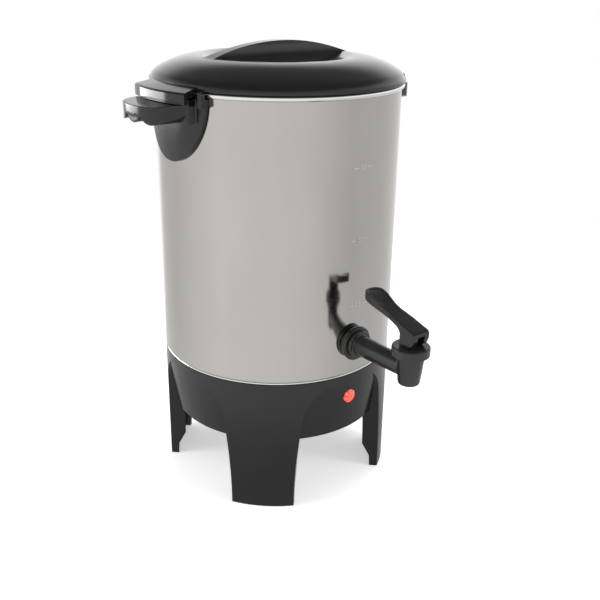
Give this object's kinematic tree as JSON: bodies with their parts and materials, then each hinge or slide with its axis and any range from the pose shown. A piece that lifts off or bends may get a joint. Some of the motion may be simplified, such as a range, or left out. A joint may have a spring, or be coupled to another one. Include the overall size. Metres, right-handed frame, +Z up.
{
  "type": "coffee urn",
  "caption": "Tall stainless coffee urn on a moulded base with legs, domed lid with grip ridge, side handles, drip-free tap and percolator pump with basket.",
  "frame": {"origin": "point on the tank axis at table height, between the four leg ends", "axes": "+Z up along the tank axis; the tap points to -Y and the power inlet to +Y; the side handles lie on +X and -X"},
  "size_m": [0.254, 0.267, 0.3544],
  "materials": {
    "tank_steel": "satin, brushed upright",
    "black_gloss": "gloss",
    "black_matt": "fine matt",
    "tap_black": "gloss",
    "bright_steel": "bright",
    "aluminium_cast": "cast",
    "aluminium_sheet": "satin",
    "mica": "matt",
    "wire_cover": "matt",
    "pin_brass": "plated",
    "red_lens": "gloss, lit from behind",
    "lamp_glass": "clear",
    "silicone": "satin"
  },
  "bodies": {
    "urn": {"tank": "tank_steel", "left_side_handle": "black_gloss", "right_side_handle": "black_gloss", "handle_screws": "bright_steel", "handle_washers": "bright_steel", "base_shell": "black_gloss", "bottom_cover": "black_matt", "cover_screws": "bright_steel", "centre_stud": "bright_steel", "stud_nuts": "bright_steel", "pump_heater": "aluminium_cast", "keep_warm_heater": "mica", "thermostat": "mica", "thermal_fuse": "bright_steel", "wiring": "wire_cover", "power_inlet": "black_matt", "inlet_pins": "pin_brass", "indicator_lens": "red_lens", "indicator_lamp": "lamp_glass", "lens_retainer": "bright_steel", "tap_body": "tap_black", "tap_collar": "tap_black", "tap_washers": "silicone", "tap_nut": "bright_steel", "tap_cap": "tap_black"},
    "lid": {"lid": "black_gloss"},
    "valve": {"valve_stem": "bright_steel", "seat_cup": "silicone", "valve_spring": "bright_steel", "lever_pin": "bright_steel"},
    "lever": {"tap_lever": "tap_black"},
    "pump": {"pump_tube": "aluminium_sheet", "pump_foot": "aluminium_sheet"},
    "basket": {"coffee_basket": "aluminium_sheet"},
    "spreader": {"basket_cover": "aluminium_sheet"}
  },
  "joints": [
    {"name": "lid_lift", "type": "slide", "parent": "urn", "child": "lid", "axis": [0, 0, 1], "range_m": [0, 0.05]},
    {"name": "valve_lift", "type": "slide", "parent": "urn", "child": "valve", "axis": [0, 0, 1], "range_m": [0, 0.00264], "stiffness_N_per_m": 300, "springref_m": -0.004, "deforming": ["valve_spring"]},
    {"name": "lever_swing", "type": "hinge", "parent": "valve", "child": "lever", "pos_m": [0, -0.155, 0.163], "axis": [1, 0, 0], "range_deg": [0, 72]},
    {"name": "pump_lift", "type": "slide", "parent": "urn", "child": "pump", "axis": [0, 0, 1], "range_m": [0, 0.008]},
    {"name": "basket_lift", "type": "slide", "parent": "pump", "child": "basket", "axis": [0, 0, 1], "range_m": [0, 0.006]},
    {"name": "spreader_lift", "type": "slide", "parent": "basket", "child": "spreader", "axis": [0, 0, 1], "range_m": [0, 0.006]}
  ],
  "couplings": [
    {"joint": "lever_swing", "follows": "valve_lift", "rad_per_m": 475.9}
  ]
}
